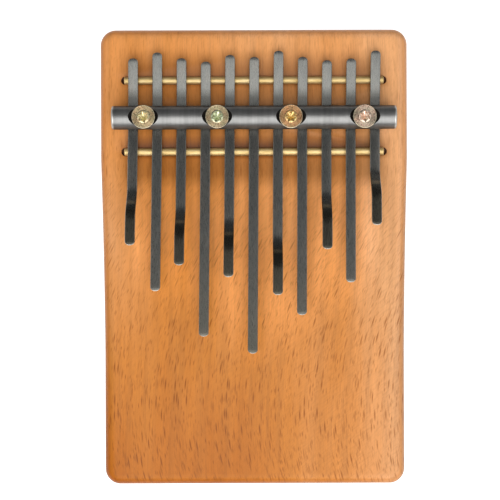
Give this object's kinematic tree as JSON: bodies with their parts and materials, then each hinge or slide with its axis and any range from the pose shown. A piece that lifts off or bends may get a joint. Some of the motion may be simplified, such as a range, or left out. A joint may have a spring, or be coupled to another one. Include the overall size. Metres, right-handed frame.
{
  "type": "mbira",
  "caption": "Board mbira: flat spring-steel tines clamped under a round steel bar between brass bridge rods on a solid beech board, played with the thumbs.",
  "frame": {"origin": "centre of the board's footprint, on the flat back", "axes": "+Z out of the playing face, +Y from the playing end towards the clamped end, +X to the right when the tine tips point down"},
  "size_m": [0.12, 0.1776, 0.0342],
  "materials": {
    "wood": "oiled beech, satin, with short dark ray flecks",
    "brass": "drawn brass rod, semi-bright",
    "bar_steel": "turned and brushed round steel bar",
    "screw_zinc": "yellow zinc plate, turned rings on the head",
    "spring_steel": "blued grey spring steel strip, satin"
  },
  "bodies": {
    "board_assembly": {"board": "wood", "rear_bridge_rod": "brass", "front_bridge_rod": "brass", "clamp_bar": "bar_steel", "clamp_screw_1": "screw_zinc", "clamp_screw_2": "screw_zinc", "clamp_screw_3": "screw_zinc", "clamp_screw_4": "screw_zinc"},
    "tine_01_seat": {"tine_01_clamped": "spring_steel"},
    "tine_01_tongue": {"tine_01_playing": "spring_steel"},
    "tine_02_seat": {"tine_02_clamped": "spring_steel"},
    "tine_02_tongue": {"tine_02_playing": "spring_steel"},
    "tine_03_seat": {"tine_03_clamped": "spring_steel"},
    "tine_03_tongue": {"tine_03_playing": "spring_steel"},
    "tine_04_seat": {"tine_04_clamped": "spring_steel"},
    "tine_04_tongue": {"tine_04_playing": "spring_steel"},
    "tine_05_seat": {"tine_05_clamped": "spring_steel"},
    "tine_05_tongue": {"tine_05_playing": "spring_steel"},
    "tine_06_seat": {"tine_06_clamped": "spring_steel"},
    "tine_06_tongue": {"tine_06_playing": "spring_steel"},
    "tine_07_seat": {"tine_07_clamped": "spring_steel"},
    "tine_07_tongue": {"tine_07_playing": "spring_steel"},
    "tine_08_seat": {"tine_08_clamped": "spring_steel"},
    "tine_08_tongue": {"tine_08_playing": "spring_steel"},
    "tine_09_seat": {"tine_09_clamped": "spring_steel"},
    "tine_09_tongue": {"tine_09_playing": "spring_steel"},
    "tine_10_seat": {"tine_10_clamped": "spring_steel"},
    "tine_10_tongue": {"tine_10_playing": "spring_steel"},
    "tine_11_seat": {"tine_11_clamped": "spring_steel"},
    "tine_11_tongue": {"tine_11_playing": "spring_steel"}
  },
  "joints": [
    {"name": "tine_01_tuning", "type": "slide", "parent": "board_assembly", "child": "tine_01_seat", "axis": [0.0087, 1, 0], "range_m": [-0.0015, 0.0015]},
    {"name": "tine_01_pluck", "type": "hinge", "parent": "tine_01_seat", "child": "tine_01_tongue", "pos_m": [-0.04686, 0.0408, 0.02255], "axis": [1, -0.0087, 0], "range_deg": [-1.3, 1.3], "stiffness_Nm_per_rad": 9.27},
    {"name": "tine_02_tuning", "type": "slide", "parent": "board_assembly", "child": "tine_02_seat", "axis": [0.0087, 1, 0], "range_m": [-0.0015, 0.0015]},
    {"name": "tine_02_pluck", "type": "hinge", "parent": "tine_02_seat", "child": "tine_02_tongue", "pos_m": [-0.03751, 0.0408, 0.02255], "axis": [1, -0.0087, 0], "range_deg": [-3, 3], "stiffness_Nm_per_rad": 6.26},
    {"name": "tine_03_tuning", "type": "slide", "parent": "board_assembly", "child": "tine_03_seat", "axis": [0.0087, 1, 0], "range_m": [-0.0015, 0.0015]},
    {"name": "tine_03_pluck", "type": "hinge", "parent": "tine_03_seat", "child": "tine_03_tongue", "pos_m": [-0.02816, 0.0408, 0.02255], "axis": [1, -0.0087, 0], "range_deg": [-2, 2], "stiffness_Nm_per_rad": 7.67},
    {"name": "tine_04_tuning", "type": "slide", "parent": "board_assembly", "child": "tine_04_seat", "axis": [0.0087, 1, 0], "range_m": [-0.0015, 0.0015]},
    {"name": "tine_04_pluck", "type": "hinge", "parent": "tine_04_seat", "child": "tine_04_tongue", "pos_m": [-0.01881, 0.0408, 0.02255], "axis": [1, -0.0087, 0], "range_deg": [-3, 3], "stiffness_Nm_per_rad": 4.73},
    {"name": "tine_05_tuning", "type": "slide", "parent": "board_assembly", "child": "tine_05_seat", "axis": [0.0087, 1, 0], "range_m": [-0.0015, 0.0015]},
    {"name": "tine_05_pluck", "type": "hinge", "parent": "tine_05_seat", "child": "tine_05_tongue", "pos_m": [-0.00946, 0.0408, 0.02255], "axis": [1, -0.0087, 0], "range_deg": [-2.4, 2.4], "stiffness_Nm_per_rad": 6.95},
    {"name": "tine_06_tuning", "type": "slide", "parent": "board_assembly", "child": "tine_06_seat", "axis": [0.0087, 1, 0], "range_m": [-0.0015, 0.0015]},
    {"name": "tine_06_pluck", "type": "hinge", "parent": "tine_06_seat", "child": "tine_06_tongue", "pos_m": [-0.00011, 0.0408, 0.02255], "axis": [1, -0.0087, 0], "range_deg": [-3, 3], "stiffness_Nm_per_rad": 4.34},
    {"name": "tine_07_tuning", "type": "slide", "parent": "board_assembly", "child": "tine_07_seat", "axis": [0.0087, 1, 0], "range_m": [-0.0015, 0.0015]},
    {"name": "tine_07_pluck", "type": "hinge", "parent": "tine_07_seat", "child": "tine_07_tongue", "pos_m": [0.00924, 0.0408, 0.02255], "axis": [1, -0.0087, 0], "range_deg": [-3, 3], "stiffness_Nm_per_rad": 6.1},
    {"name": "tine_08_tuning", "type": "slide", "parent": "board_assembly", "child": "tine_08_seat", "axis": [0.0087, 1, 0], "range_m": [-0.0015, 0.0015]},
    {"name": "tine_08_pluck", "type": "hinge", "parent": "tine_08_seat", "child": "tine_08_tongue", "pos_m": [0.01859, 0.0408, 0.02255], "axis": [1, -0.0087, 0], "range_deg": [-3, 3], "stiffness_Nm_per_rad": 5.33},
    {"name": "tine_09_tuning", "type": "slide", "parent": "board_assembly", "child": "tine_09_seat", "axis": [0.0087, 1, 0], "range_m": [-0.0015, 0.0015]},
    {"name": "tine_09_pluck", "type": "hinge", "parent": "tine_09_seat", "child": "tine_09_tongue", "pos_m": [0.02794, 0.0408, 0.02255], "axis": [1, -0.0087, 0], "range_deg": [-1.5, 1.5], "stiffness_Nm_per_rad": 8.86},
    {"name": "tine_10_tuning", "type": "slide", "parent": "board_assembly", "child": "tine_10_seat", "axis": [0.0087, 1, 0], "range_m": [-0.0015, 0.0015]},
    {"name": "tine_10_pluck", "type": "hinge", "parent": "tine_10_seat", "child": "tine_10_tongue", "pos_m": [0.03729, 0.0408, 0.02255], "axis": [1, -0.0087, 0], "range_deg": [-2.6, 2.6], "stiffness_Nm_per_rad": 6.64},
    {"name": "tine_11_tuning", "type": "slide", "parent": "board_assembly", "child": "tine_11_seat", "axis": [0.0087, 1, 0], "range_m": [-0.0015, 0.0015]},
    {"name": "tine_11_pluck", "type": "hinge", "parent": "tine_11_seat", "child": "tine_11_tongue", "pos_m": [0.04664, 0.0408, 0.02255], "axis": [1, -0.0087, 0], "range_deg": [-0.9, 0.9], "stiffness_Nm_per_rad": 11.64}
  ]
}
